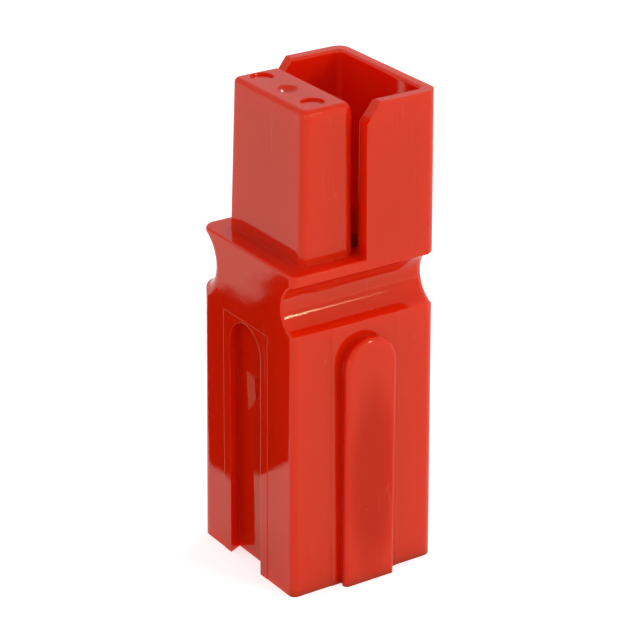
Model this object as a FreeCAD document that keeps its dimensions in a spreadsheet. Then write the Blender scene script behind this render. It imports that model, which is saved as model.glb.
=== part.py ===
import FreeCAD, Part
import math
import os
import Sketcher

# Single-pole power connector housing: one red moulding and the leaf spring that it holds.
# Frame: +Z is the mating end, z = 0 is the rear face where the wire enters, and the Z axis is
# the axis of the wire bore. The finger is on the -X side and the hood on the +X side.
# The plane x = 0 is the mating plane: two housings mate with one turned half a turn about Y.
# All sizes are in millimetres, and angles in degrees.

SIZES = [
    ("housing_length", 47.4, "rear face to the rim of the hood"),
    ("rear_half_x", 8.12, "half width along X at the rear face"),
    ("rear_half_y", 8.2, "half width along Y at the rear face"),
    ("draft_x", 0.27, "draft of the two X sides towards the mating end"),
    ("draft_y", 0.54, "draft of the two Y sides"),
    ("front_corner_radius", 0.65, "long edge between the -X and -Y sides"),
    ("left_corner_radius", 1.45, "long edge between the -X and +Y sides"),
    ("hood_corner_radius", 1.1, "the two long edges on the hood's side"),
    ("ledge_height", 32.55, "rear face to the ledge that the finger stands on"),
    ("ledge_edge_radius", 0.2, "outer edge of the ledge"),
    ("insert_step", 0.05, "how far a mould insert's panel stands proud"),
    ("insert_half_width", 3.8, "half width of an insert panel at the rear face"),
    ("insert_height", 25.4, "height of the panel round a groove"),
    ("mating_gap", 0.1, "finger face and hood ends stand back from the mating plane"),
    ("hood_side_wall", 1.2, "hood wall on the two Y sides, at the rim"),
    ("hood_end_wall", 1.05, "hood wall on the +X side, at the rim"),
    ("hood_draft", 0.5, "draft inside the hood"),
    ("hood_inner_radius", 0.5, "upright corners inside the hood"),
    ("rim_rounding", 0.3, "rounding round the inside of the rim"),
    ("hood_leadin_along", 1.45, "lead-in at the hood's open ends, along X"),
    ("hood_leadin_down", 1.9, "lead-in at the hood's open ends, along Z"),
    ("finger_height", 14.65, "ledge to the top of the finger"),
    ("finger_back_clearance", 0.95, "finger's back, at the ledge, to the mating hood's rim"),
    ("finger_side_clearance", 0.3, "finger's sides, at the ledge, to the mating hood's rim"),
    ("finger_back_draft", 1.49, "draft of the finger's back"),
    ("finger_side_draft", 0.9, "draft of the finger's two Y sides"),
    ("finger_edge_radius", 0.75, "upright edges at the finger's back"),
    ("finger_rail_radius", 0.8, "upright edges beside the contact channel"),
    ("finger_top_radius", 0.5, "edges round the finger's top"),
    ("nose_slope_along", 0.7, "slope at the top of the finger's mating face, along X"),
    ("nose_slope_down", 1.5, "the same along Z"),
    ("mark_radius", 1.12, "the three round marks on the finger's top"),
    ("mark_depth", 0.22, "depth of the two flat marks"),
    ("dimple_depth", 0.42, "depth of the hollow in the middle"),
    ("mark_pitch", 4.15, "distance between the marks"),
    ("mark_middle", 0.22, "middle mark from the body axis, along Y"),
    ("mark_offset", 3.25, "mating plane to the row of marks"),
    ("pin_radius", 2.53, "half-round channel for a retaining pin"),
    ("pin_axis_out", 0.42, "rear outline's Y side out to the channel's axis"),
    ("pin_mouth_radius", 0.2, "rounding where the -Y channel runs out on the -X side"),
    ("pin_height", 29.13, "rear face to the channel's axis"),
    ("dovetail_half_width", 3.05, "half width of a tongue at its outer face"),
    ("dovetail_height", 22.5, "rear face to the centre of the round end"),
    ("dovetail_angle", 23.5, "flank angle of the dovetails"),
    ("dovetail_inset_x", 0.04, "panel's face at the rear back to the root, on the X sides"),
    ("dovetail_inset_y", 0.12, "the same on the Y sides"),
    ("tongue_height", 1.15, "root to the outer face of a tongue"),
    ("tongue_edge_radius", 0.45, "outer edge of a tongue"),
    ("dovetail_clearance", 0.17, "how much wider and deeper a groove is than a tongue"),
    ("gate_height", 17.5, "rear face to the middle of the gate mark"),
    ("gate_length", 4.0, "gate mark, along Z"),
    ("gate_width", 2.3, "gate mark, across the groove"),
    ("gate_depth", 0.45, "depth of the gate mark"),
    ("gate_bevel", 0.65, "slope on one side of the gate mark"),
    ("gate_offset", 0.6, "gate mark's middle from the groove's centre"),
    ("gate_nub_radius", 0.17, "broken gate's stub"),
    ("bore_radius", 5.65, "wire entry"),
    ("bore_depth", 22.0, "straight length of the wire entry"),
    ("bore_leadin", 0.5, "chamfer at the mouth of the wire entry"),
    ("passage_half_width", 4.75, "half width of the contact passage"),
    ("passage_back", 2.3, "mating plane to the wall that the spring lies on"),
    ("passage_front", 2.9, "mating plane to the passage's other wall"),
    ("channel_top", 13.1, "ledge to the closed end of the finger's channel"),
    ("spring_thickness", 0.45, "stainless strip"),
    ("spring_width", 6.0, "stainless strip"),
    ("spring_tab_length", 1.0, "bent tab that sits in the slot"),
    ("spring_foot_height", 24.4, "rear face to the underside of the tab"),
    ("spring_flat_length", 5.0, "stretch that lies on the passage wall"),
    ("spring_rise", 0.7, "how far the bowed stretch stands off the wall"),
    ("spring_end_gap", 0.9, "free end to the closed end of the channel"),
    ("slot_clearance", 0.1, "room round the spring's tab"),
]


class Size:
    """A length or angle with its number and the formula that binds it to the sheet."""

    def __init__(self, value, text):
        self.value = value
        self.text = text

    def join(self, other, mark, value):
        return Size(value, "(%s %s %s)" % (self.text, mark, as_size(other).text))

    def __add__(self, other):
        return self.join(other, "+", self.value + as_size(other).value)

    def __sub__(self, other):
        return self.join(other, "-", self.value - as_size(other).value)

    def __mul__(self, other):
        return self.join(other, "*", self.value * as_size(other).value)

    def __truediv__(self, other):
        return self.join(other, "/", self.value / as_size(other).value)

    def __neg__(self):
        return Size(-self.value, "(-1 * %s)" % self.text)


def as_size(number):
    if isinstance(number, Size):
        return number
    return Size(float(number), repr(float(number)))


def tangent(angle):
    return Size(math.tan(math.radians(angle.value)), "tan(%s)" % angle.text)


ZERO = as_size(0)
doc = FreeCAD.newDocument("ConnectorHousing")
sheet = doc.addObject("Spreadsheet::Sheet", "Sizes")
size = {}
for row, (alias, value, remark) in enumerate(SIZES, start=1):
    sheet.set("A%d" % row, alias)
    sheet.set("B%d" % row, str(value))
    sheet.set("C%d" % row, remark)
    sheet.setAlias("B%d" % row, alias)
    size[alias] = Size(value, "Sizes." + alias)
doc.recompute()


# Helpers for sketches and features

def bind(thing, prop, amount):
    """Give a property its number now, and its formula for every later change."""
    thing.setExpression(prop, as_size(amount).text)


def origin_plane(body, role):
    return [item for item in body.Origin.OriginFeatures if item.Role == role][0]


def sketch_on(body, name, plane_role, offset=ZERO):
    """A sketch on one of the body's own origin planes, moved along the plane's normal."""
    sketch = body.newObject("Sketcher::SketchObject", name)
    sketch.AttachmentSupport = [(origin_plane(body, plane_role), "")]
    sketch.MapMode = "FlatFace"
    sketch.AttachmentOffset = FreeCAD.Placement(
        FreeCAD.Vector(0, 0, as_size(offset).value), FreeCAD.Rotation())
    bind(sketch, "AttachmentOffset.Base.z", offset)
    return sketch


def pin_point(sketch, geometry, end, across, up, label):
    """Hold one end of a line or a centre at a place measured from the sketch's origin."""
    for kind, amount in (("DistanceX", across), ("DistanceY", up)):
        number = sketch.addConstraint(
            Sketcher.Constraint(kind, -1, 1, geometry, end, as_size(amount).value))
        word = label + ("_across" if kind == "DistanceX" else "_up")
        sketch.renameConstraint(number, word)
        bind(sketch, "Constraints." + word, amount)


def draw_outline(sketch, points, arcs=None):
    """A closed outline with a pinned corner at each (across, up) pair.

    arcs gives, for the segments that are not straight, the centre and +1 for a
    counter-clockwise arc from the segment's first corner or -1 for a clockwise one.
    """
    arcs = arcs or {}
    places = [FreeCAD.Vector(as_size(a).value, as_size(u).value, 0) for a, u in points]
    ends = []
    for index, place in enumerate(places):
        following = places[(index + 1) % len(places)]
        if index not in arcs:
            sketch.addGeometry(Part.LineSegment(place, following), False)
            ends.append((1, 2))
            continue
        across, up, turn = arcs[index]
        centre = FreeCAD.Vector(as_size(across).value, as_size(up).value, 0)
        first, last = (place, following) if turn > 0 else (following, place)
        circle = Part.Circle(centre, FreeCAD.Vector(0, 0, 1), (first - centre).Length)
        start = math.atan2(first.y - centre.y, first.x - centre.x)
        sweep = (math.atan2(last.y - centre.y, last.x - centre.x) - start) % (2 * math.pi)
        sketch.addGeometry(Part.ArcOfCircle(circle, start, start + sweep), False)
        ends.append((1, 2) if turn > 0 else (2, 1))
    for index in range(len(points)):
        following = (index + 1) % len(points)
        sketch.addConstraint(Sketcher.Constraint(
            "Coincident", index, ends[index][1], following, ends[following][0]))
    for index, (across, up) in enumerate(points):
        pin_point(sketch, index, ends[index][0], across, up, "corner%d" % index)
    for index, (across, up, turn) in arcs.items():
        chord = places[(index + 1) % len(places)] - places[index]
        kind, amount = ("DistanceX", across) if abs(chord.y) > abs(chord.x) else ("DistanceY", up)
        pin_centre(sketch, index, kind, amount, "centre%d" % index)


def pin_centre(sketch, geometry, kind, amount, word):
    number = sketch.addConstraint(
        Sketcher.Constraint(kind, -1, 1, geometry, 3, as_size(amount).value))
    sketch.renameConstraint(number, word)
    bind(sketch, "Constraints." + word, amount)


def draw_box(sketch, low_across, high_across, low_up, high_up):
    draw_outline(sketch, [(low_across, low_up), (high_across, low_up),
                          (high_across, high_up), (low_across, high_up)])


def draw_circle(sketch, across, up, radius, label):
    centre = FreeCAD.Vector(as_size(across).value, as_size(up).value, 0)
    circle = Part.Circle(centre, FreeCAD.Vector(0, 0, 1), radius.value)
    index = sketch.addGeometry(circle, False)
    pin_point(sketch, index, 3, across, up, label)
    number = sketch.addConstraint(Sketcher.Constraint("Radius", index, radius.value))
    sketch.renameConstraint(number, label + "_radius")
    bind(sketch, "Constraints." + label + "_radius", radius)


def extrude(body, kind, name, sketch, length, both_ways=False):
    """A pad, which goes along the sketch's normal, or a pocket, which goes against it."""
    feature = body.newObject("PartDesign::" + kind, name)
    feature.Profile = sketch
    feature.Length = length.value
    bind(feature, "Length", length)
    if both_ways:
        feature.SideType = "Symmetric"
    doc.recompute()
    return feature


def revolve(body, kind, name, sketch, axis, angle):
    """A turned solid or cut about one of the sketch's own axes, half the angle each way."""
    feature = body.newObject("PartDesign::" + kind, name)
    feature.Profile = sketch
    feature.ReferenceAxis = (sketch, [axis])
    feature.Midplane = True
    feature.Angle = angle
    doc.recompute()
    return feature


def loft(body, kind, name, first, second):
    feature = body.newObject("PartDesign::" + kind, name)
    feature.Profile = first
    feature.Sections = [second]
    feature.Ruled = True
    doc.recompute()
    return feature


def edges_of(feature, wanted):
    """Names of the edges that pass the test."""
    names = []
    for number, edge in enumerate(feature.Shape.Edges, start=1):
        if wanted(edge, edge.BoundBox):
            names.append("Edge%d" % number)
    return names


def faces_of(feature, wanted):
    names = []
    for number, face in enumerate(feature.Shape.Faces, start=1):
        if wanted(face, face.BoundBox):
            names.append("Face%d" % number)
    return names


def draft(body, name, base, angle, neutral, wanted):
    """Lean some faces inwards, about the lines where they cross the neutral plane."""
    feature = body.newObject("PartDesign::Draft", name)
    feature.Base = (base, faces_of(base, wanted))
    feature.NeutralPlane = neutral
    feature.Angle = angle.value
    bind(feature, "Angle", angle)
    doc.recompute()
    return feature


def fillet(body, name, base, radius, wanted):
    feature = body.newObject("PartDesign::Fillet", name)
    feature.Base = (base, edges_of(base, wanted))
    feature.Radius = radius.value
    bind(feature, "Radius", radius)
    doc.recompute()
    return feature


def is_upright(box):
    return box.ZLength > 10 * max(box.XLength, box.YLength)


def is_at(number, target):
    return abs(number - target) < 0.02


# The outer block, its long edges and the panels that the mould's side inserts leave

def half_x(height):
    """Half width along X at a height above the rear face."""
    return size["rear_half_x"] - height * tangent(size["draft_x"])


def half_y(height):
    return size["rear_half_y"] - height * tangent(size["draft_y"])


def build_block(body):
    """The square block with its draft, and a radius of its own on each kind of long edge."""
    x = size["rear_half_x"]
    y = size["rear_half_y"]
    sketch = sketch_on(body, "rear_outline", "XY_Plane")
    draw_box(sketch, -x, x, -y, y)
    block = extrude(body, "Pad", "block", sketch, size["housing_length"])
    rear = origin_plane(body, "XY_Plane")
    lean_x = draft(body, "block_draft_x", block, size["draft_x"], (rear, [""]),
                   lambda face, box: is_at(box.XLength, 0))
    lean_y = draft(body, "block_draft_y", lean_x, size["draft_y"], (rear, [""]),
                   lambda face, box: is_at(box.YLength, 0))
    front = fillet(body, "front_corner", lean_y, size["front_corner_radius"],
                   lambda edge, box: is_upright(box) and box.XMax < 0 and box.YMax < 0)
    left = fillet(body, "left_corner", front, size["left_corner_radius"],
                  lambda edge, box: is_upright(box) and box.XMax < 0 and box.YMin > 0)
    fillet(body, "hood_corners", left, size["hood_corner_radius"],
           lambda edge, box: is_upright(box) and box.XMin > 0)


def build_insert_panels(body):
    """Each side has a panel a hair proud of the face, round its tongue or groove."""
    low = size["insert_height"]
    panels = [("groove_panel_left", "XZ_Plane", "x", -1, low),
              ("groove_panel_back", "YZ_Plane", "y", 1, low),
              ("tongue_panel_front", "YZ_Plane", "y", -1, size["pin_height"]),
              ("tongue_panel_right", "XZ_Plane", "x", 1, low)]
    for name, plane, axis, side, height in panels:
        foot = size["rear_half_" + axis] + size["insert_step"]
        top = foot - height * tangent(size["draft_" + axis])
        inner = size["rear_half_" + axis] / 2 * side
        sketch = sketch_on(body, name + "_side", plane)
        draw_outline(sketch, [(inner, ZERO), (foot * side, ZERO), (top * side, height),
                              (inner, height)])
        extrude(body, "Pad", name, sketch, size["insert_half_width"] * 2, True)


# The mating end: a hood open towards the finger, and the finger on its ledge

def hood_inside_x():
    """Mating plane to the inside of the hood's end wall, at the rim."""
    return half_x(size["housing_length"]) - size["hood_end_wall"]


def hood_inside_y():
    return half_y(size["housing_length"]) - size["hood_side_wall"]


def cut_lead_in(body, name, side, top, along, down):
    """A slope off the top edge beside the mating plane, on the finger or on the hood's ends."""
    face = size["mating_gap"] * side
    slope_end = face + along * side
    above = top * 1.1
    sketch = sketch_on(body, name + "_side", "XZ_Plane")
    draw_outline(sketch, [(ZERO, top - down), (face, top - down), (slope_end, top),
                          (slope_end, above), (ZERO, above)])
    return extrude(body, "Pocket", name, sketch, size["rear_half_y"] * 4, True)


def build_hood(body):
    length = size["housing_length"]
    gap = size["mating_gap"]
    wall_y = hood_inside_y()
    wall_x = hood_inside_x()
    past = size["rear_half_y"] * 2
    sketch = sketch_on(body, "hood_cavity_outline", "XY_Plane", length)
    draw_outline(sketch, [(-past, -past), (gap, -past), (gap, -wall_y), (wall_x, -wall_y),
                          (wall_x, wall_y), (gap, wall_y), (gap, past), (-past, past)])
    hollow = extrude(body, "Pocket", "hood_cavity", sketch, length - size["ledge_height"])
    top = length.value
    floor = size["ledge_height"].value
    reach_x = wall_x.value
    reach_y = wall_y.value

    def is_inner_wall(face, box):
        end_wall = is_at(box.XMin, reach_x) and is_at(box.XMax, reach_x)
        side_wall = is_at(box.YLength, 0) and is_at(abs(box.YMin), reach_y)
        return is_at(box.ZMin, floor) and (end_wall or side_wall)

    def is_inner_corner(edge, box):
        middle = edge.CenterOfMass
        return is_upright(box) and is_at(box.ZMin, floor) and is_at(box.ZMax, top) \
            and reach_x - 0.5 < middle.x < reach_x + 0.1 and abs(middle.y) < reach_y + 0.1

    def is_rim_edge(edge, box):
        return is_at(box.ZMin, top) and gap.value + 0.1 < box.XMin and box.XMax < reach_x + 0.1 \
            and max(-box.YMin, box.YMax) < reach_y + 0.1

    def is_ledge_edge(edge, box):
        outside = box.XMax < 0 or max(-box.YMin, box.YMax) > reach_y + 0.5
        return is_at(box.ZMin, floor) and is_at(box.ZMax, floor) and box.XMin < 0 and outside

    rim = faces_of(hollow, lambda face, box: is_at(box.ZMin, top))[:1]
    draft(body, "hood_cavity_draft", hollow, size["hood_draft"], (hollow, rim), is_inner_wall)
    ends = cut_lead_in(body, "hood_leadin", 1, length, size["hood_leadin_along"],
                       size["hood_leadin_down"])
    inner = fillet(body, "hood_inner_corners", ends, size["hood_inner_radius"], is_inner_corner)
    rounded = fillet(body, "rim_edge", inner, size["rim_rounding"], is_rim_edge)
    fillet(body, "ledge_edge", rounded, size["ledge_edge_radius"], is_ledge_edge)


def build_finger(body):
    """A blade on the ledge, with draft, rounded edges and a slope on its mating face."""
    gap = size["mating_gap"]
    ledge = size["ledge_height"]
    top = ledge + size["finger_height"]
    back = hood_inside_x() - size["finger_back_clearance"]
    half = hood_inside_y() - size["finger_side_clearance"]
    sketch = sketch_on(body, "finger_foot", "XY_Plane", ledge)
    draw_box(sketch, -back, -gap, -half, half)
    blade = extrude(body, "Pad", "finger", sketch, size["finger_height"])

    def is_level_with(box, height):
        return is_at(box.ZMin, height.value) and is_at(box.ZMax, height.value)

    def is_back(face, box):
        return is_at(box.XMin, -back.value) and is_at(box.XMax, -back.value)

    def is_side(face, box):
        return is_at(box.YLength, 0) and is_at(abs(box.YMin), half.value) \
            and is_at(box.ZMin, ledge.value) and box.XMax < 0

    def is_upright_edge(box):
        return is_upright(box) and box.ZMin > ledge.value - 0.1 and box.XMax < 0

    def is_top_edge(edge, box):
        at_back = box.XMax < -back.value / 2
        along_side = box.XLength > 1 and box.XMax < -gap.value - size["nose_slope_along"].value + 0.1
        return is_level_with(box, top) and (at_back or along_side)

    foot = faces_of(blade, lambda face, box: is_level_with(box, ledge))[:1]
    lean = draft(body, "finger_back_draft", blade, size["finger_back_draft"], (blade, foot), is_back)
    foot = faces_of(lean, lambda face, box: is_level_with(box, ledge))[:1]
    draft(body, "finger_side_draft", lean, size["finger_side_draft"], (lean, foot), is_side)
    nose = cut_lead_in(body, "nose_slope", -1, top, size["nose_slope_along"],
                       size["nose_slope_down"])
    corners = fillet(body, "finger_back_edges", nose, size["finger_edge_radius"],
                     lambda edge, box: is_upright_edge(box) and box.XMax < -back.value / 2)
    rails = fillet(body, "finger_rail_edges", corners, size["finger_rail_radius"],
                   lambda edge, box: is_upright_edge(box) and is_at(box.XMax, -gap.value))
    fillet(body, "finger_top_edges", rails, size["finger_top_radius"], is_top_edge)


def build_top_marks(body):
    """Two flat round marks and, between them, a shallow round hollow."""
    top = size["ledge_height"] + size["finger_height"]
    row = -size["mark_offset"]
    sketch = sketch_on(body, "marks_outline", "XY_Plane", top)
    middle = size["mark_middle"]
    pitch = size["mark_pitch"]
    draw_circle(sketch, row, middle - pitch, size["mark_radius"], "front_mark")
    draw_circle(sketch, row, middle + pitch, size["mark_radius"], "back_mark")
    extrude(body, "Pocket", "marks", sketch, size["mark_depth"])
    radius = size["mark_radius"]
    depth = size["dimple_depth"]
    ball = (radius * radius + depth * depth) / (depth * 2)
    dimple = body.newObject("PartDesign::SubtractiveSphere", "dimple")
    dimple.Radius = ball.value
    bind(dimple, "Radius", ball)
    centre = top - depth + ball
    dimple.Placement.Base = FreeCAD.Vector(row.value, middle.value, centre.value)
    bind(dimple, "Placement.Base.x", row)
    bind(dimple, "Placement.Base.y", middle)
    bind(dimple, "Placement.Base.z", centre)
    doc.recompute()


# What runs through the housing from the rear face to the finger

def build_contact_passage(body):
    top = size["ledge_height"] + size["channel_top"]
    half = size["passage_half_width"]
    sketch = sketch_on(body, "passage_outline", "XY_Plane", top)
    draw_box(sketch, -size["passage_back"], size["passage_front"], -half, half)
    extrude(body, "Pocket", "contact_passage", sketch, top - size["bore_depth"] * 0.9)


def build_wire_bore(body):
    radius = size["bore_radius"]
    leadin = size["bore_leadin"]
    end = size["bore_depth"]
    sketch = sketch_on(body, "bore_section", "XZ_Plane")
    draw_outline(sketch, [(ZERO, ZERO), (radius + leadin, ZERO), (radius, leadin),
                          (radius, end), (ZERO, end)])
    revolve(body, "Groove", "wire_bore", sketch, "V_Axis", 360)


def build_spring_slot(body):
    room = size["slot_clearance"]
    foot = size["spring_foot_height"]
    half = size["spring_width"] / 2 + room
    sketch = sketch_on(body, "slot_outline", "XY_Plane", foot + size["spring_thickness"] + room)
    deepest = size["passage_back"] + size["spring_tab_length"] + room
    draw_box(sketch, -deepest, -size["passage_back"] / 2, -half, half)
    extrude(body, "Pocket", "spring_slot", sketch, size["spring_thickness"] + room)


def build_pin_channel(body, name, side, left_mouth, right_mouth):
    """A half-round channel along X whose two ends flare like the long edges they run into.

    Two housings side by side turn it into a round hole for the pin that locks them.
    """
    radius = size["pin_radius"]
    flare = math.radians(80)
    face = half_x(size["pin_height"])
    left_centre = -face + left_mouth
    right_centre = face - right_mouth
    left_end = left_centre - left_mouth * math.sin(flare)
    right_end = right_centre + right_mouth * math.sin(flare)
    left_up = radius + left_mouth * (1 - math.cos(flare))
    right_up = radius + right_mouth * (1 - math.cos(flare))
    beyond = face * math.cos(flare)
    rise = face * math.sin(flare)
    axis_at = size["rear_half_y"] + size["pin_axis_out"]
    sketch = sketch_on(body, name + "_outline", "XZ_Plane", axis_at * side)
    bind(sketch, "AttachmentOffset.Base.y", size["pin_height"])
    draw_outline(sketch, [(left_end - beyond, ZERO), (right_end + beyond, ZERO),
                          (right_end + beyond, right_up + rise), (right_end, right_up),
                          (right_centre, radius), (left_centre, radius),
                          (left_end, left_up), (left_end - beyond, left_up + rise)],
                 {3: (right_centre, radius + right_mouth, -1),
                  5: (left_centre, radius + left_mouth, -1)})
    revolve(body, "Groove", name, sketch, "H_Axis", 360)


# Dovetails: tongues on the -Y and +X sides, grooves on the +Y and -X sides

def dovetail_root(axis):
    """Body axis to the root of a tongue, which is also the lip of the groove opposite."""
    return size["rear_half_" + axis] + size["insert_step"] - size["dovetail_inset_" + axis]


def dovetail(body, name, axis, side, near, far, near_half, far_half, solid):
    """A flanked bar or slot up to its round end, between two distances from the body axis."""
    height = size["dovetail_height"]
    corners = [(near * side, -near_half), (far * side, -far_half),
               (far * side, far_half), (near * side, near_half)]
    if axis == "y":
        corners = [(across, along) for along, across in corners]
    section = sketch_on(body, name + "_section", "XY_Plane", ZERO if solid else height)
    draw_outline(section, corners)
    extrude(body, "Pad" if solid else "Pocket", name, section, height if solid else height * 1.5)
    end = sketch_on(body, name + "_end_section", "XZ_Plane" if axis == "x" else "YZ_Plane")
    bind(end, "AttachmentOffset.Base.y", height)
    draw_outline(end, [(near * side, ZERO), (far * side, ZERO), (far * side, far_half),
                       (near * side, near_half)])
    return revolve(body, "Revolution" if solid else "Groove", name + "_end", end, "H_Axis", 180)


def build_tongue(body, name, axis, side):
    reach = dovetail_root(axis) + size["tongue_height"]
    buried = (dovetail_root(axis) + size["bore_radius"]) / 2
    half = size["dovetail_half_width"]
    buried_half = half - (reach - buried) * tangent(size["dovetail_angle"])
    tongue = dovetail(body, name, axis, side, buried, reach, buried_half, half, True)

    def is_outer_edge(edge, box):
        low, high = (box.XMin, box.XMax) if axis == "x" else (box.YMin, box.YMax)
        return is_at(low, reach.value * side) and is_at(high, reach.value * side) \
            and not is_at(box.ZMax, 0)

    fillet(body, name + "_edge", tongue, size["tongue_edge_radius"], is_outer_edge)


def build_groove(body, name, axis, side):
    """The tongue's shape, wider and deeper by the clearance."""
    depth = size["tongue_height"] + size["dovetail_clearance"]
    floor_at = dovetail_root(axis) - depth
    floor_half = size["dovetail_half_width"] + size["dovetail_clearance"]
    open_half = floor_half - depth * 2 * tangent(size["dovetail_angle"])
    dovetail(body, name, axis, side, floor_at, floor_at + depth * 2, floor_half, open_half, False)


def build_gate_mark(body):
    """Where the mould's gate was broken off, in the floor of the groove on the -X side."""
    floor_at = dovetail_root("x") - size["tongue_height"] - size["dovetail_clearance"]
    middle = size["gate_offset"]
    low = size["gate_height"] - size["gate_length"] / 2
    high = size["gate_height"] + size["gate_length"] / 2
    half = size["gate_width"] / 2
    bevel = size["gate_bevel"]
    rim = sketch_on(body, "gate_rim", "YZ_Plane", -floor_at)
    draw_outline(rim, [(middle + half, high), (middle + half * 0.75, low),
                       (middle - half * 0.1, low + bevel),
                       (middle - half * 0.95, size["gate_height"]), (middle - half, high)])
    pit = sketch_on(body, "gate_pit", "YZ_Plane", -floor_at + size["gate_depth"])
    draw_outline(pit, [(middle + half - bevel, high - bevel),
                       (middle + half * 0.75 - bevel, low + bevel * 2),
                       (middle - half * 0.1, low + bevel * 2.2),
                       (middle - half * 0.9, size["gate_height"]),
                       (middle - half * 0.95, high - bevel * 0.2)])
    loft(body, "SubtractiveLoft", "gate_mark", rim, pit)
    nub = sketch_on(body, "gate_nub_outline", "YZ_Plane", -floor_at)
    draw_circle(nub, middle - half * 0.2, low + bevel * 1.8, size["gate_nub_radius"], "nub")
    stub = body.newObject("PartDesign::Pad", "gate_nub")
    stub.Profile = nub
    stub.Length = (size["gate_depth"] * 1.2).value
    bind(stub, "Length", size["gate_depth"] * 1.2)
    doc.recompute()


def build_housing():
    body = doc.addObject("PartDesign::Body", "Housing")
    body.Label = "housing"
    build_block(body)
    build_insert_panels(body)
    build_hood(body)
    build_finger(body)
    build_top_marks(body)
    build_contact_passage(body)
    build_wire_bore(body)
    build_spring_slot(body)
    build_pin_channel(body, "pin_channel_front", 1, size["pin_mouth_radius"],
                      size["hood_corner_radius"])
    build_pin_channel(body, "pin_channel_back", -1, size["left_corner_radius"],
                      size["hood_corner_radius"])
    build_tongue(body, "tongue_front", "y", -1)
    build_tongue(body, "tongue_right", "x", 1)
    build_groove(body, "groove_left", "x", -1)
    build_groove(body, "groove_back", "y", 1)
    build_gate_mark(body)
    return body


# The retention spring lies on the passage's -X wall, with a tab in its slot and a free end

def build_spring():
    body = doc.addObject("PartDesign::Body", "ContactSpring")
    body.Label = "contact_spring"
    wall = -size["passage_back"]
    thick = size["spring_thickness"]
    foot = size["spring_foot_height"]
    tab = wall - size["spring_tab_length"]
    flat_end = foot + size["spring_flat_length"]
    tip = size["ledge_height"] + size["channel_top"] - size["spring_end_gap"]
    middle = (flat_end + tip) / 2
    half = (tip - flat_end) / 2
    rise = size["spring_rise"]
    bow = (half * half + rise * rise) / (rise * 2)
    centre = wall + rise - bow
    sketch = sketch_on(body, "strip_side", "XZ_Plane")
    draw_outline(sketch, [(tab, foot), (wall, foot), (wall + thick, foot + thick),
                          (wall + thick, flat_end), (wall + thick, tip), (wall, tip),
                          (wall, flat_end), (wall, foot + thick), (tab, foot + thick)],
                 {1: (wall, foot + thick, 1), 3: (centre, middle, 1), 5: (centre, middle, -1)})
    extrude(body, "Pad", "strip", sketch, size["spring_width"], True)
    return body


def check(body):
    """Stop with a clear message before a file is written from a faulty shape."""
    for item in body.Group:
        if "Invalid" in item.State or "Error" in item.State:
            raise RuntimeError("%s: %s" % (item.Name, item.getStatusString()))
    if body.Shape.isNull() or not body.Shape.isValid() or len(body.Shape.Solids) != 1:
        raise RuntimeError("%s has no valid single solid" % body.Label)


bodies = [build_housing(), build_spring()]
doc.recompute()
for body in bodies:
    check(body)
os.makedirs("parts", exist_ok=True)
for body in bodies:
    body.Shape.exportStep("parts/%s.step" % body.Label)
    print("%s: %.1f cubic mm" % (body.Label, body.Shape.Volume))
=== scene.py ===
import math

import bpy
from mathutils import Matrix, Vector

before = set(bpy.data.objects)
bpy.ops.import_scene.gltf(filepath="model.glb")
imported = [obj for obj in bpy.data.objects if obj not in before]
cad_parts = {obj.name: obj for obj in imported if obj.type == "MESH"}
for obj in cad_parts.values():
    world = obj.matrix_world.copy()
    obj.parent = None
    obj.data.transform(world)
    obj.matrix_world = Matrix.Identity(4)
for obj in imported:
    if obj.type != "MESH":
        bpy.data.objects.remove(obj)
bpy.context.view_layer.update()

MM = 0.001

# Photograph's camera, from the body's edges. Angles in degrees, lengths in metres.
VIEW_AZIMUTH = -33.8235
VIEW_ELEVATION = 24.0429
VIEW_ROLL = 0.2621
VIEW_DISTANCE = 0.2580657
VIEW_RIGHT = 0.0002658
VIEW_UP = 0.0216198
LENS_MM = 148.09
SENSOR_MM = 36.0
NEAREST_SEEN = 0.01
FARTHEST_SEEN = 10.0

# Colours
WHITE = (1.0, 1.0, 1.0, 1.0)
FLOOR_WHITE = (0.8, 0.8, 0.8, 1.0)
BLACK = (0.01, 0.01, 0.01, 1.0)
STEEL = (0.62, 0.61, 0.58, 1.0)
RED = (0.725, 0.0135, 0.0006, 1.0)
SHADED_RED = (0.5, 0.012, 0.0006, 1.0)
PALE_RED = (0.8, 0.22, 0.18, 1.0)
GLOSS_TINT = (1.0, 0.95, 0.55, 1.0)

# How far red, green and blue light goes inside the moulding, as shares of a depth.
GLOW_WEIGHT = 0.85
GLOW_DEPTH = 4.0 * MM
GLOW_SHARES = (1.0, 0.1, 0.05)

# Smoothest and roughest gloss, what a hairline adds, and the steel's roughness.
SMOOTHEST = 0.03
ROUGHEST = 0.07
HAIRLINE_ROUGHNESS = 0.12
STEEL_ROUGHNESS = 0.28
PLASTIC_IOR = 1.5
PLAIN_GLOSS = 0.5
# Gloss level in the painted tongue shade, lowered so that it stands in for a dark reflection there.
TONGUE_SHADE_GLOSS = 0.25

# Pattern scales, in repeats per metre.
GLOSS_SCALE = 900.0
SINK_SCALE = 240.0
GRAIN_SCALE = 3200.0
SPECK_SCALE = 700.0
HAIRLINE_SCALE = 1800.0
HAIRLINE_PATCH_SCALE = 170.0

# Heights of the small relief, and the rounding of sharp edges.
SINK_DEPTH = 0.02 * MM
GRAIN_DEPTH = 0.005 * MM
SPECK_DEPTH = 0.015 * MM
EDGE_RADIUS = 0.07 * MM
EDGE_SAMPLES = 6

# Specks: radii as shares of a cell, the share of cells with none, and how pale they are.
SPECK_CORE = 0.03
SPECK_RIM = 0.055
SPECKLESS_SHARE = 0.6
SPECK_PALENESS = 0.35

# Hairlines: how far they are drawn out along Z, their width, where they lie, how pale they are.
HAIRLINE_ALONG_Z = 0.03
HAIRLINE_CORE = 0.004
HAIRLINE_RIM = 0.014
PATCH_START = 0.52
PATCH_FULL = 0.62
HAIRLINE_PALENESS = 0.07
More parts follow.
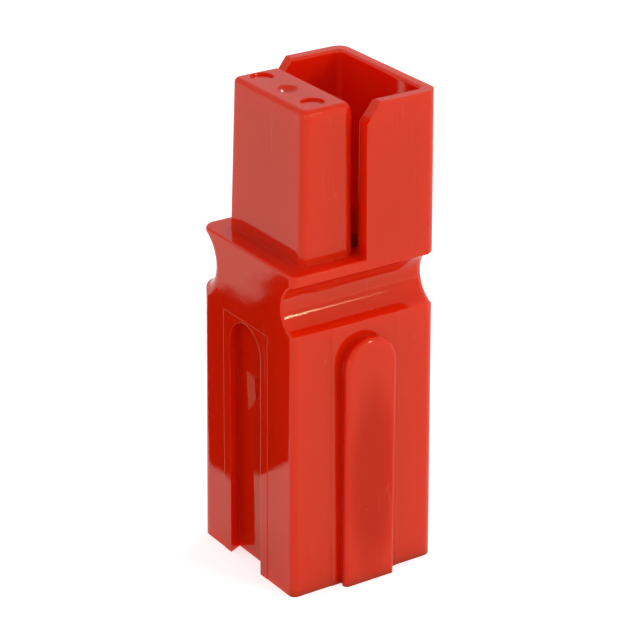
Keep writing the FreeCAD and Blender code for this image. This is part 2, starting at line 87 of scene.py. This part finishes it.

# Painted shade: a dark oval on the front tongue, where the light falls off; axis, middle and
# half-length for X and Z, in metres.
TONGUE_SHADE_REACH = ((0, 0.0002, 0.0030), (2, 0.011, 0.0105))
TONGUE_SHADE_CORE = 0.35
TONGUE_SHADE_RIM = 1.1
TONGUE_SHADE_DARKNESS = 0.6
TONGUE_FACE_Y = -0.0092
TONGUE_FACE_END_Y = -0.0090

# Outline of the black card on the floor behind the object's left, in metres; seen only in gloss, it
# paints a dark reflection.
CARD = [(-0.016, 0.0135), (-0.030, 0.0175), (-0.060, 0.0175), (-0.060, 0.0585), (-0.0465, 0.0585),
        (-0.0445, 0.0535), (-0.0426, 0.0530), (-0.0423, 0.0580), (-0.038, 0.062), (-0.016, 0.062)]
CARD_HEIGHT = 0.0002

FLOOR_SIZE = 3.0

# What the floor gives off to the camera and to gloss, besides the light that it scatters.
CAMERA_LIFT = 0.6
GLOSS_LIFT = 0.3

# The light all round fades from walls to ceiling with a direction's Z part, and towards the back
# with its Y part.
WALL_TOP = 0.55
CEILING_START = 0.84
WALL_LIGHT = 0.74
CEILING_LIGHT = 0.6
BACK_START = 0.3
BACK_END = 0.75
BACK_LIGHT = 0.8

# Lamps: azimuth and elevation in degrees; distance, width and height in metres; watts.
LAMPS = {
    "key": (24.6, 18.4, 0.5, 0.095, 0.07, 0.5),
    "key_rim": (23.0, 18.4, 0.52, 0.17, 0.035, 0.13),
    "left": (-55.5, 6.0, 0.5, 0.03, 0.05, 0.1),
    "overhead_right": (124.8, 43.6, 0.5, 0.03, 0.03, 0.28),
}
LAMP_TARGET = Vector((0.0, 0.0, 0.024))


# Shader helpers

def new_material(name):
    material = bpy.data.materials.new(name)
    material.use_nodes = True
    nodes = material.node_tree.nodes
    nodes.clear()
    output = nodes.new("ShaderNodeOutputMaterial")
    return material, nodes, material.node_tree.links, output


def feed(links, socket, value):
    """A plain number or colour goes on the socket itself, and an output is linked to it."""
    if isinstance(value, (int, float, tuple)):
        socket.default_value = value
    else:
        links.new(value, socket)


def math_node(nodes, links, operation, *values):
    node = nodes.new("ShaderNodeMath")
    node.operation = operation
    for socket, value in zip(node.inputs, values):
        feed(links, socket, value)
    return node.outputs[0]


def ramp(nodes, links, value, start, end, low, high):
    """The value from start to end, turned into low to high and held at both ends."""
    node = nodes.new("ShaderNodeMapRange")
    for name, number in (("From Min", start), ("From Max", end), ("To Min", low), ("To Max", high)):
        node.inputs[name].default_value = number
    links.new(value, node.inputs["Value"])
    return node.outputs[0]


def object_point(nodes, links, along_z=1.0):
    """The point in the object's own frame; a small along_z draws a pattern out along Z."""
    coordinates = nodes.new("ShaderNodeTexCoord")
    mapping = nodes.new("ShaderNodeMapping")
    mapping.inputs["Scale"].default_value = (1.0, 1.0, along_z)
    links.new(coordinates.outputs["Object"], mapping.inputs["Vector"])
    return mapping.outputs[0]


def noise(nodes, links, scale, detail, along_z=1.0):
    texture = nodes.new("ShaderNodeTexNoise")
    texture.inputs["Scale"].default_value = scale
    texture.inputs["Detail"].default_value = detail
    links.new(object_point(nodes, links, along_z), texture.inputs["Vector"])
    return texture.outputs["Fac"]


def bump(nodes, links, height, depth, normal):
    node = nodes.new("ShaderNodeBump")
    node.inputs["Strength"].default_value = 1.0
    node.inputs["Distance"].default_value = depth
    links.new(height, node.inputs["Height"])
    links.new(normal, node.inputs["Normal"])
    return node.outputs["Normal"]


def blend(nodes, links, mask, amount, first, second):
    """A colour that goes from first to second by the amount where the mask is full."""
    node = nodes.new("ShaderNodeMix")
    node.data_type = "RGBA"
    links.new(math_node(nodes, links, "MULTIPLY", mask, amount), node.inputs["Factor"])
    feed(links, node.inputs[6], first)
    feed(links, node.inputs[7], second)
    return node.outputs[2]


# Materials

def dust_specks(nodes, links):
    """Sparse round specks, one in some cells of a 1.4 mm pattern."""
    cells = nodes.new("ShaderNodeTexVoronoi")
    cells.inputs["Scale"].default_value = SPECK_SCALE
    links.new(object_point(nodes, links), cells.inputs["Vector"])
    spot = ramp(nodes, links, cells.outputs["Distance"], SPECK_CORE, SPECK_RIM, 1.0, 0.0)
    split = nodes.new("ShaderNodeSeparateColor")
    links.new(cells.outputs["Color"], split.inputs[0])
    chosen = math_node(nodes, links, "GREATER_THAN", split.outputs[0], SPECKLESS_SHARE)
    return math_node(nodes, links, "MULTIPLY", spot, chosen)


def scratches(nodes, links):
    """Faint hairlines along Z, in patches, where a drawn-out noise crosses its middle value."""
    lines = noise(nodes, links, HAIRLINE_SCALE, 0.0, HAIRLINE_ALONG_Z)
    offset = math_node(nodes, links, "ABSOLUTE", math_node(nodes, links, "SUBTRACT", lines, 0.5))
    thin = ramp(nodes, links, offset, HAIRLINE_CORE, HAIRLINE_RIM, 1.0, 0.0)
    spread = noise(nodes, links, HAIRLINE_PATCH_SCALE, 1.0)
    patch = ramp(nodes, links, spread, PATCH_START, PATCH_FULL, 0.0, 1.0)
    return math_node(nodes, links, "MULTIPLY", thin, patch)


def painted_tongue_shade(nodes, links):
    """Painted shade: a soft darker oval on the front tongue's outer face, where the light falls off.
    """
    split = nodes.new("ShaderNodeSeparateXYZ")
    links.new(object_point(nodes, links), split.inputs[0])
    squares = []
    for axis, middle, reach in TONGUE_SHADE_REACH:
        offset = math_node(nodes, links, "SUBTRACT", split.outputs[axis], middle)
        share = math_node(nodes, links, "DIVIDE", offset, reach)
        squares.append(math_node(nodes, links, "MULTIPLY", share, share))
    radius = math_node(nodes, links, "ADD", *squares)
    oval = ramp(nodes, links, radius, TONGUE_SHADE_CORE, TONGUE_SHADE_RIM, 1.0, 0.0)
    front = ramp(nodes, links, split.outputs[1], TONGUE_FACE_Y, TONGUE_FACE_END_Y, 1.0, 0.0)
    return math_node(nodes, links, "MULTIPLY", oval, front)


def red_relief(nodes, links, specks):
    """Softened edges, broad sinks, fine grain and raised specks, as one normal."""
    edges = nodes.new("ShaderNodeBevel")
    edges.samples = EDGE_SAMPLES
    edges.inputs["Radius"].default_value = EDGE_RADIUS
    sinks = noise(nodes, links, SINK_SCALE, 1.0)
    sunk = bump(nodes, links, sinks, SINK_DEPTH, edges.outputs["Normal"])
    grained = bump(nodes, links, noise(nodes, links, GRAIN_SCALE, 2.0), GRAIN_DEPTH, sunk)
    return bump(nodes, links, specks, SPECK_DEPTH, grained)


def red_moulding():
    """Glossy, translucent red thermoplastic with small marks of handling, and painted shade on the
    front tongue.
    """
    material, nodes, links, output = new_material("red_moulding")
    shader = nodes.new("ShaderNodeBsdfPrincipled")
    tongue_shade = painted_tongue_shade(nodes, links)
    specks = dust_specks(nodes, links)
    hairlines = scratches(nodes, links)

    # Painted shade: the red darkens in the oval on the front tongue.
    shaded = blend(nodes, links, tongue_shade, TONGUE_SHADE_DARKNESS, RED, SHADED_RED)
    scuffed = blend(nodes, links, hairlines, HAIRLINE_PALENESS, shaded, PALE_RED)
    colour = blend(nodes, links, specks, SPECK_PALENESS, scuffed, PALE_RED)
    links.new(colour, shader.inputs["Base Color"])
    # Weaker gloss in the painted tongue shade: a painted dark reflection.
    level = ramp(nodes, links, tongue_shade, 0.0, 1.0, PLAIN_GLOSS, TONGUE_SHADE_GLOSS)
    links.new(level, shader.inputs["Specular IOR Level"])
    shader.inputs["IOR"].default_value = PLASTIC_IOR
    shader.inputs["Specular Tint"].default_value = GLOSS_TINT
    shader.inputs["Subsurface Weight"].default_value = GLOW_WEIGHT
    shader.inputs["Subsurface Radius"].default_value = GLOW_SHARES
    shader.inputs["Subsurface Scale"].default_value = GLOW_DEPTH

    uneven = noise(nodes, links, GLOSS_SCALE, 3.0)
    gloss = ramp(nodes, links, uneven, 0.0, 1.0, SMOOTHEST, ROUGHEST)
    rough = math_node(nodes, links, "MULTIPLY_ADD", hairlines, HAIRLINE_ROUGHNESS, gloss)
    links.new(rough, shader.inputs["Roughness"])
    links.new(red_relief(nodes, links, specks), shader.inputs["Normal"])
    links.new(shader.outputs["BSDF"], output.inputs["Surface"])
    return material


def spring_steel():
    material, nodes, links, output = new_material("spring_steel")
    shader = nodes.new("ShaderNodeBsdfPrincipled")
    shader.inputs["Base Color"].default_value = STEEL
    shader.inputs["Metallic"].default_value = 1.0
    shader.inputs["Roughness"].default_value = STEEL_ROUGHNESS
    links.new(shader.outputs["BSDF"], output.inputs["Surface"])
    return material


def white_floor():
    """A white surface that keeps the shadow, lifted for the camera and for gloss."""
    material, nodes, links, output = new_material("white_floor")
    surface = nodes.new("ShaderNodeBsdfDiffuse")
    surface.inputs["Color"].default_value = FLOOR_WHITE
    ray = nodes.new("ShaderNodeLightPath")
    to_gloss = math_node(nodes, links, "MULTIPLY", ray.outputs["Is Glossy Ray"], GLOSS_LIFT)
    strength = math_node(nodes, links, "MULTIPLY_ADD",
                         ray.outputs["Is Camera Ray"], CAMERA_LIFT, to_gloss)
    lift = nodes.new("ShaderNodeEmission")
    lift.inputs["Color"].default_value = WHITE
    links.new(strength, lift.inputs["Strength"])
    both = nodes.new("ShaderNodeAddShader")
    links.new(surface.outputs[0], both.inputs[0])
    links.new(lift.outputs[0], both.inputs[1])
    links.new(both.outputs[0], output.inputs["Surface"])
    return material


def matt_black():
    material, nodes, links, output = new_material("matt_black")
    shader = nodes.new("ShaderNodeBsdfDiffuse")
    shader.inputs["Color"].default_value = BLACK
    links.new(shader.outputs[0], output.inputs["Surface"])
    return material


# Stage

def add_floor():
    bpy.ops.mesh.primitive_plane_add(size=FLOOR_SIZE, location=(0.0, 0.0, 0.0))
    floor = bpy.context.object
    floor.name = "floor"
    floor.data.materials.append(white_floor())


def add_painted_reflection_card():
    """A matt black card on the floor that only gloss shows: a painted dark reflection."""
    mesh = bpy.data.meshes.new("dark_card")
    mesh.from_pydata([(x, y, CARD_HEIGHT) for x, y in CARD], [], [range(len(CARD))])
    card = bpy.data.objects.new("dark_card", mesh)
    bpy.context.collection.objects.link(card)
    card.data.materials.append(matt_black())
    card.visible_camera = False
    card.visible_diffuse = False
    card.visible_shadow = False


def add_world():
    """White to the camera, and a tent of light with a dimmer ceiling and back to all else."""
    world = bpy.data.worlds.new("white_tent")
    bpy.context.scene.world = world
    world.use_nodes = True
    nodes = world.node_tree.nodes
    links = world.node_tree.links
    nodes.clear()
    output = nodes.new("ShaderNodeOutputWorld")
    background = nodes.new("ShaderNodeBackground")
    background.inputs["Color"].default_value = WHITE
    coordinates = nodes.new("ShaderNodeTexCoord")
    split = nodes.new("ShaderNodeSeparateXYZ")
    links.new(coordinates.outputs["Generated"], split.inputs[0])
    walls = ramp(nodes, links, split.outputs["Z"], WALL_TOP, CEILING_START, WALL_LIGHT, CEILING_LIGHT)
    depth = ramp(nodes, links, split.outputs["Y"], BACK_START, BACK_END, 1.0, BACK_LIGHT)
    light = math_node(nodes, links, "MULTIPLY", walls, depth)
    ray = nodes.new("ShaderNodeLightPath")
    strength = math_node(nodes, links, "MAXIMUM", ray.outputs["Is Camera Ray"], light)
    links.new(strength, background.inputs["Strength"])
    links.new(background.outputs[0], output.inputs["Surface"])


def towards(azimuth, elevation):
    """Unit vector from the object to a place seen in a direction; azimuth 0 is the front, -Y."""
    a = math.radians(azimuth)
    e = math.radians(elevation)
    return Vector((math.sin(a) * math.cos(e), -math.cos(a) * math.cos(e), math.sin(e)))


def add_lamp(name, azimuth, elevation, distance, width, height, power):
    """A softbox that looks at the middle of the object from the given direction."""
    data = bpy.data.lights.new(name, "AREA")
    data.shape = "RECTANGLE"
    data.size = width
    data.size_y = height
    data.energy = power
    lamp = bpy.data.objects.new(name, data)
    bpy.context.collection.objects.link(lamp)
    direction = towards(azimuth, elevation)
    lamp.location = LAMP_TARGET + direction * distance
    lamp.rotation_mode = "QUATERNION"
    lamp.rotation_quaternion = direction.to_track_quat("Z", "Y")


def add_camera():
    back = towards(VIEW_AZIMUTH, VIEW_ELEVATION)
    a = math.radians(VIEW_AZIMUTH)
    right = Vector((math.cos(a), math.sin(a), 0.0))
    up = back.cross(right)
    turn = Matrix.Rotation(math.radians(-VIEW_ROLL), 3, "Z")
    axes = Matrix((right, up, back)).transposed() @ turn.transposed()
    place = back * VIEW_DISTANCE + right * VIEW_RIGHT + up * VIEW_UP
    data = bpy.data.cameras.new("camera")
    data.lens = LENS_MM
    data.sensor_width = SENSOR_MM
    data.clip_start = NEAREST_SEEN
    data.clip_end = FARTHEST_SEEN
    camera = bpy.data.objects.new("camera", data)
    bpy.context.collection.objects.link(camera)
    camera.matrix_world = Matrix.LocRotScale(place, axes.to_quaternion(), None)
    bpy.context.scene.camera = camera


def dress(node, material):
    """Give a CAD node its material in every slot; the mesh itself is left alone."""
    piece = bpy.data.objects[node]
    for slot in piece.material_slots:
        slot.material = material
    if not piece.material_slots:
        piece.data.materials.append(material)


bpy.context.scene.view_settings.view_transform = "Standard"
dress("housing", red_moulding())
dress("contact_spring", spring_steel())
add_floor()
# A black card that only gloss sees: a painted dark reflection on the object.
add_painted_reflection_card()
add_world()
for lamp_name, lamp_values in LAMPS.items():
    add_lamp(lamp_name, *lamp_values)
add_camera()
